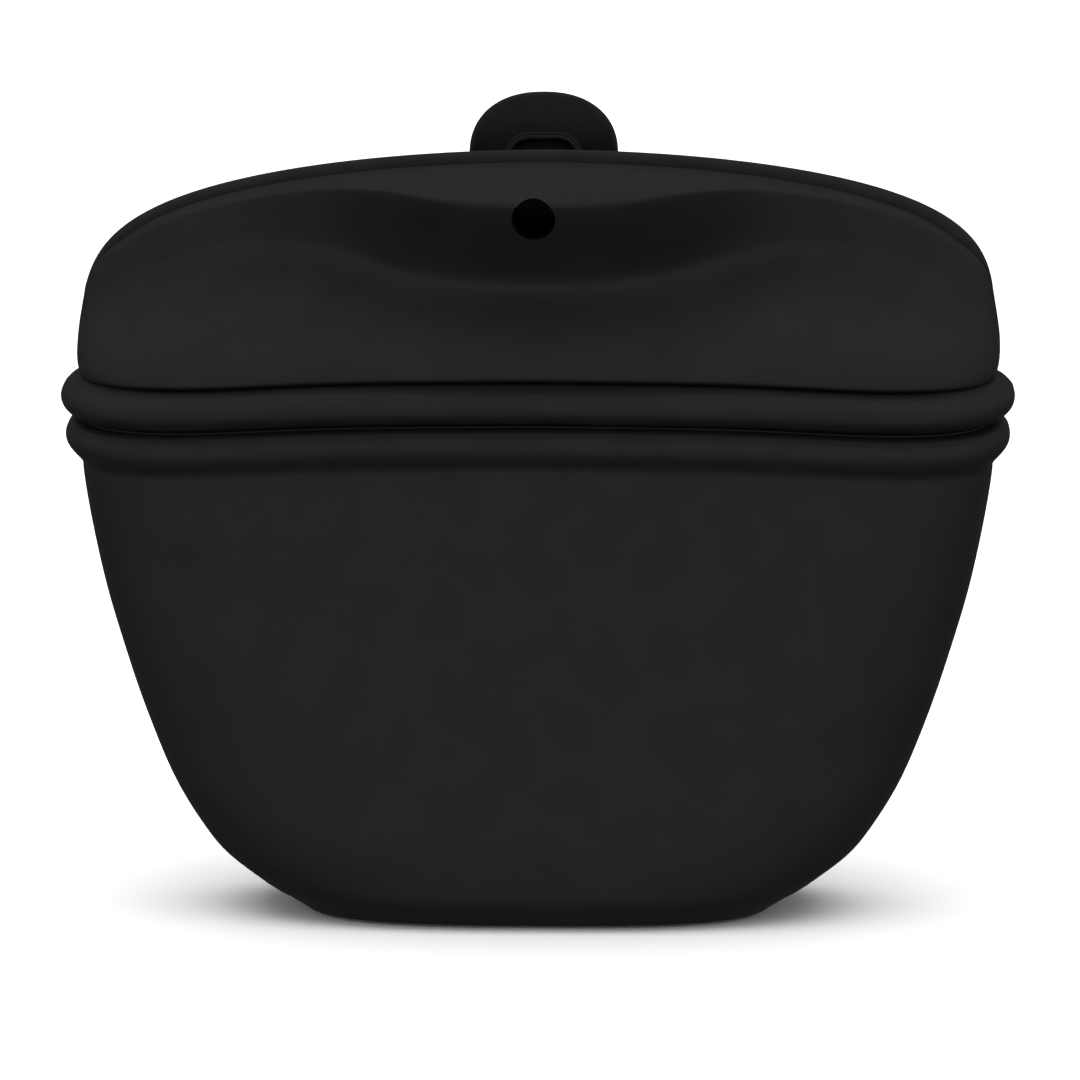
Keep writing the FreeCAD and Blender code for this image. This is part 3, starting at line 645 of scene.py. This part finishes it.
plate = add_object("lever_plate", [prism(lever_outline(), "y", LEVER_FRONT, LEVER_BACK, LEVER_EDGE, 4)])
window_outline = rounded_rectangle(WINDOW_HALF_WIDTH, WINDOW_LOW, WINDOW_TOP, WINDOW_CORNER)
spring_reach = KNUCKLE_RADIUS + SPRING_ROOM
spring_room = rounded_rectangle(KNUCKLE_INNER, PIN_Z - spring_reach, PIN_Z + spring_reach, 1.2)
cut(plate, [
    prism(window_outline, "y", LEVER_FRONT - 2.0, LEVER_FRONT + WINDOW_DEPTH),
    prism(spring_room, "y", LEVER_FRONT - 2.0, LEVER_BACK + 2.0),
])
rim_outer = rounded_rectangle(
    WINDOW_HALF_WIDTH + RIM_WIDTH, WINDOW_LOW - RIM_WIDTH, WINDOW_TOP + RIM_WIDTH, WINDOW_CORNER + RIM_WIDTH
)
rim_root = LEVER_FRONT + OVERLAP
rim_top = LEVER_FRONT - RIM_HEIGHT
rim = frame_ring(rim_outer, window_outline, [
    (0.0, rim_root), (0.0, rim_top + RIM_EDGE), (0.10, rim_top + 0.1), (0.3, rim_top),
    (0.7, rim_top), (0.9, rim_top + 0.1), (1.0, rim_top + RIM_EDGE), (1.0, rim_root),
])
details = [plate.data, rim]
barrel = round_outline((PIN_Y, PIN_Z), KNUCKLE_RADIUS)
GUSSET_INNER = 7.0
GUSSET_OUTER = 8.6
gusset = [
    (LEVER_FRONT + 0.4, PIN_Z + 3.0), (LEVER_FRONT + 0.4, PIN_Z + 13.0),
    (LEVER_FRONT - 1.8, PIN_Z + 8.0), (LEVER_FRONT - 2.6, PIN_Z + 2.0),
]
for side in (-1, 1):
    for outline, inner, outer, edge in (
        (barrel, KNUCKLE_INNER, NECK_HALF_WIDTH, 0.35), (gusset, GUSSET_INNER, GUSSET_OUTER, 0.3),
    ):
        ends = sorted((side * inner, side * outer))
        details.append(prism(outline, "x", ends[0], ends[1], edge))
pad_back = pad_high[1]
toe_root = LEVER_FRONT + OVERLAP
TOE_BLOCK = 1.5                # straight part of the toe in front of the pad
toe = [
    (toe_root, pad_low[2] + 8.5), (pad_back + TOE_BLOCK, pad_high[2]), (pad_back, pad_high[2]),
    (pad_back, pad_low[2]), (pad_back + TOE_BLOCK, pad_low[2]), (toe_root, pad_low[2] + 2.5),
]
details.append(prism(toe, "x", pad_low[0], pad_high[0], 0.4))
GRIP_BARS = 5                  # thumb ridges across the back of the tab
GRIP_LOW = 93.0
GRIP_PITCH = 3.6
GRIP_HALF_LENGTH = 7.2
GRIP_RADIUS = 0.75
for k in range(GRIP_BARS):
    bar = round_outline((LEVER_BACK, GRIP_LOW + GRIP_PITCH * k), GRIP_RADIUS, 16)
    details.append(prism(bar, "x", -GRIP_HALF_LENGTH, GRIP_HALF_LENGTH, 0.25))
lever = add_object("clip_lever_moulding", details)
bpy.data.objects.remove(plate)
soften(lever)

# ---------------------------------------------------------------- coiled torsion spring
_, spring_high = corners_mm("clip_spring")
WIRE_RADIUS = 0.4
COIL_RADIUS = 2.65
COIL_HALF = spring_high[0] - 0.8
COIL_TURNS = 8.5
LEG_END = 11.0                 # the free leg ends this far above the pin
LEG_START = 0.4


def tube(path, radius, sides=12):
    """Tube along a path, closed at both ends."""
    path = np.asarray(path, float)
    forward = np.gradient(path, axis=0)
    forward /= np.linalg.norm(forward, axis=1)[:, None]
    side = np.cross(forward[0], (0.3, 0.9, 0.2))
    bm = bmesh.new()
    rings = []
    for spot, ahead in zip(path, forward):
        side = side - ahead * (side @ ahead)
        side /= np.linalg.norm(side)
        other = np.cross(ahead, side)
        ring = []
        for a in np.linspace(0, 2 * math.pi, sides, endpoint=False):
            ring.append(bm.verts.new((spot + radius * (math.cos(a) * side + math.sin(a) * other)) * MM))
        rings.append(ring)
    for first, second in zip(rings, rings[1:]):
        for j in range(sides):
            n = (j + 1) % sides
            bm.faces.new((first[j], first[n], second[n], second[j]))
    bm.faces.new(rings[0])
    bm.faces.new(rings[-1])
    bmesh.ops.recalc_face_normals(bm, faces=bm.faces)
    mesh = bpy.data.meshes.new("tube")
    bm.to_mesh(mesh)
    bm.free()
    return mesh


coil = []
for t in np.linspace(0, 1, 400):
    a = math.pi + 2 * math.pi * COIL_TURNS * t
    across_coil = COIL_HALF * (1 - 2 * t)
    coil.append((across_coil, PIN_Y + COIL_RADIUS * math.cos(a), PIN_Z + COIL_RADIUS * math.sin(a)))
leg = [(COIL_HALF, PIN_Y - COIL_RADIUS, PIN_Z + rise) for rise in np.linspace(LEG_END, LEG_START, 12)]
spring = add_object("clip_torsion_spring", [tube(leg + coil, WIRE_RADIUS)])
soften(spring, 60.0)


# ---------------------------------------------------------------- materials
def new_material(name, colour, roughness, metallic=0.0, specular=0.5):
    """Principled material and its parts, with the given constants on the shader itself."""
    mat = bpy.data.materials.new(name)
    mat.use_nodes = True
    tree = mat.node_tree
    shader = tree.nodes["Principled BSDF"]
    shader.inputs["Base Color"].default_value = (*colour, 1.0)
    shader.inputs["Roughness"].default_value = roughness
    shader.inputs["Metallic"].default_value = metallic
    shader.inputs["Specular IOR Level"].default_value = specular
    return mat, tree, shader


def noise(tree, scale, detail=3.0, stretch=(1.0, 1.0, 1.0)):
    """Noise in object space; the scale is in features per metre."""
    place = tree.nodes.new("ShaderNodeTexCoord")
    mapping = tree.nodes.new("ShaderNodeMapping")
    texture = tree.nodes.new("ShaderNodeTexNoise")
    mapping.inputs["Scale"].default_value = stretch
    texture.inputs["Scale"].default_value = scale
    texture.inputs["Detail"].default_value = detail
    tree.links.new(place.outputs["Object"], mapping.inputs["Vector"])
    tree.links.new(mapping.outputs["Vector"], texture.inputs["Vector"])
    return texture.outputs["Fac"]


def ramp_to(tree, factor, socket, low, high, start=0.3, stop=0.7):
    """Drive a socket between two values with a noise."""
    reach = tree.nodes.new("ShaderNodeMapRange")
    reach.inputs["From Min"].default_value = start
    reach.inputs["From Max"].default_value = stop
    reach.inputs["To Min"].default_value = low
    reach.inputs["To Max"].default_value = high
    tree.links.new(factor, reach.inputs["Value"])
    tree.links.new(reach.outputs["Result"], socket)


def colour_mix(tree, factor, socket, first, second):
    """Drive a colour socket between two colours with a noise."""
    mix = tree.nodes.new("ShaderNodeMix")
    mix.data_type = "RGBA"
    mix.inputs["A"].default_value = (*first, 1.0)
    mix.inputs["B"].default_value = (*second, 1.0)
    tree.links.new(factor, mix.inputs["Factor"])
    tree.links.new(mix.outputs["Result"], socket)


def bump(tree, shader, height, distance, strength=1.0, edge=0.0):
    """Fine surface relief, on top of edges rounded by the given radius."""
    relief = tree.nodes.new("ShaderNodeBump")
    relief.inputs["Distance"].default_value = distance
    relief.inputs["Strength"].default_value = strength
    tree.links.new(height, relief.inputs["Height"])
    if edge:
        rounding = tree.nodes.new("ShaderNodeBevel")
        rounding.samples = 6
        rounding.inputs["Radius"].default_value = edge
        tree.links.new(rounding.outputs["Normal"], relief.inputs["Normal"])
    tree.links.new(relief.outputs["Normal"], shader.inputs["Normal"])


SILICONE_GLOSS = 0.17
NYLON_GLOSS = 0.15


def silicone(name, tone):
    """Matt black silicone rubber: cloudy, faintly dusty, with a fine moulded grain."""
    mat, tree, shader = new_material(name, (tone, tone, tone * 1.06), 0.5, specular=SILICONE_GLOSS)
    colour_mix(tree, noise(tree, 90, 4), shader.inputs["Base Color"],
               (tone * 0.8, tone * 0.8, tone * 0.84), (tone * 1.25, tone * 1.25, tone * 1.33))
    ramp_to(tree, noise(tree, 160, 5), shader.inputs["Roughness"], 0.47, 0.60)
    bump(tree, shader, noise(tree, 1900, 3), 0.00004, 0.6)
    return mat


def plastic(name, tone):
    """Black moulded nylon, a little smoother than the rubber; its black is toned darker than the rubber's as
    painted shade, for a clip that stands in the shade behind the pouch.
    """
    mat, tree, shader = new_material(name, (tone, tone, tone), 0.35, specular=NYLON_GLOSS)
    colour_mix(tree, noise(tree, 260, 3), shader.inputs["Base Color"],
               (tone * 0.75, tone * 0.76, tone * 0.70), (tone * 1.3, tone * 1.3, tone * 1.2))
    ramp_to(tree, noise(tree, 420, 4), shader.inputs["Roughness"], 0.28, 0.42)
    bump(tree, shader, noise(tree, 5200, 2), 0.00002, 0.5, edge=0.0005)
    return mat


def metal(name, colour, roughness, grain):
    """Plated or rolled metal with a drawn grain and slightly uneven polish."""
    mat, tree, shader = new_material(name, colour, roughness, metallic=1.0)
    darker = tuple(c * 0.72 for c in colour)
    colour_mix(tree, noise(tree, 300, 4), shader.inputs["Base Color"], darker, colour)
    ramp_to(tree, noise(tree, 900, 3, grain), shader.inputs["Roughness"], roughness * 0.75, roughness * 1.35)
    bump(tree, shader, noise(tree, 2600, 2, grain), 0.00001, 0.4, edge=0.0002)
    return mat


MATERIALS = {
    "silicone": silicone("black_silicone", 0.0090),
    # Strip silicone: a copy of the black silicone five times lighter, painted light so the strip seen deep
    # behind the hole reads as dimly lit.
    "silicone_strip": silicone("strip_silicone_painted_light", 0.0450),
    # Clip nylon: black, with its tone set below the rubber's as painted shade for the clip behind the
    # pouch's lip.
    "clip_plastic": plastic("clip_nylon_painted_shade", 0.0028),
    "steel": metal("plated_steel", (0.62, 0.61, 0.59), 0.28, (1.0, 1.0, 1.0)),
    "backing_plate": metal("backing_steel", (0.50, 0.50, 0.50), 0.40, (1.0, 1.0, 12.0)),
    "spring_steel": metal("spring_steel", (0.42, 0.41, 0.40), 0.30, (1.0, 1.0, 1.0)),
    "magnet": metal("nickel_plate", (0.66, 0.64, 0.60), 0.22, (8.0, 1.0, 1.0)),
    "pad_rubber": silicone("pad_rubber", 0.0130),
}
skin.data.materials.clear()
skin.data.materials.append(MATERIALS["silicone"])
lever.data.materials.append(MATERIALS["clip_plastic"])
spring.data.materials.append(MATERIALS["spring_steel"])
NODE_SLOTS = {
    # The magnet covers take the lighter strip silicone, whose tone is painted light.
    "rear_magnet_cover": "silicone_strip",
    "front_magnet_cover": "silicone_strip",
    "clip_base": "clip_plastic",
    "clip_backing_plate": "backing_plate",
    "clip_hinge_pin": "steel",
    "clip_pin_ring": "spring_steel",
    "clip_jaw_pad": "pad_rubber",
}
for name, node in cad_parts.items():
    if "_magnet_" in name and "cover" not in name:
        slot = "magnet"
    elif name.startswith("clip_screw"):
        slot = "steel"
    else:
        slot = NODE_SLOTS.get(name)
    if slot:
        node.data.materials.clear()
        node.data.materials.append(MATERIALS[slot])

# ---------------------------------------------------------------- what moves with what
bpy.context.view_layer.update()
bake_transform(skin)
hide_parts("pouch_shell", "front_flap")
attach(lever, "clip_lever")
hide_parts("clip_lever")
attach(spring, "clip_lever")
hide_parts("clip_spring")

# The skin's vertex positions, read into an array of points.
spots = np.empty(len(skin.data.vertices) * 3, np.float32)
skin.data.vertices.foreach_get("co", spots)
spots = spots.reshape(-1, 3)

# ---------------------------------------------------------------- floor, light and camera
FLOOR_RADIUS = 9.0
bpy.ops.mesh.primitive_circle_add(vertices=96, radius=FLOOR_RADIUS, fill_type="NGON", location=(0, 0, 0))
floor = bpy.context.object
floor.name = "floor"
floor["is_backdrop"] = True
floor.visible_diffuse = False
floor.visible_glossy = False
floor_mat, _, _ = new_material("pale_floor", (0.93, 0.93, 0.93), 0.9, specular=0.0)
floor.data.materials.append(floor_mat)

# Soft studio dome: brightest in front and above, dim behind and underneath.
SKY = 1.0
GROUND = 0.10
BRIGHT_SIDE = (0.0, -0.85, 0.53)
world = bpy.data.worlds.new("studio")
bpy.context.scene.world = world
world.use_nodes = True
sky_tree = world.node_tree
direction = sky_tree.nodes.new("ShaderNodeTexCoord")
facing_front = sky_tree.nodes.new("ShaderNodeVectorMath")
facing_front.operation = "DOT_PRODUCT"
facing_front.inputs[1].default_value = BRIGHT_SIDE
sky_tree.links.new(direction.outputs["Generated"], facing_front.inputs[0])
ramp_to(sky_tree, facing_front.outputs["Value"], sky_tree.nodes["Background"].inputs["Strength"],
        GROUND, SKY, -0.5, 0.5)
sky_tree.nodes["Background"].inputs["Color"].default_value = (1, 1, 1, 1)

# A wide soft light that only the floor receives, so that the pouch leaves a contact shadow.
sun = bpy.data.lights.new("floor_light", "SUN")
sun.energy = 2.6
sun.angle = 1.4
floor_light = bpy.data.objects.new("floor_light", sun)
bpy.context.scene.collection.objects.link(floor_light)
lit = bpy.data.collections.new("lit_by_floor_light")
lit.objects.link(floor)
floor_light.light_linking.receiver_collection = lit

CAMERA_DISTANCE = 0.76
CAMERA_HEIGHT = 0.173
CAMERA_AZIMUTH = math.radians(1.5)
CAMERA_AIM = (0.0003, 0.0, 0.0533)
camera_data = bpy.data.cameras.new("camera")
camera = bpy.data.objects.new("camera", camera_data)
bpy.context.scene.collection.objects.link(camera)
bpy.context.scene.camera = camera
camera.location = (
    CAMERA_DISTANCE * math.sin(CAMERA_AZIMUTH), -CAMERA_DISTANCE * math.cos(CAMERA_AZIMUTH), CAMERA_HEIGHT
)
camera.rotation_euler = (Vector(CAMERA_AIM) - camera.location).to_track_quat("-Z", "Y").to_euler()
camera_data.sensor_width = 36.0
camera_data.lens = 179.0
camera_data.clip_end = 50.0
bpy.context.scene.view_settings.view_transform = "Standard"

low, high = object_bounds()
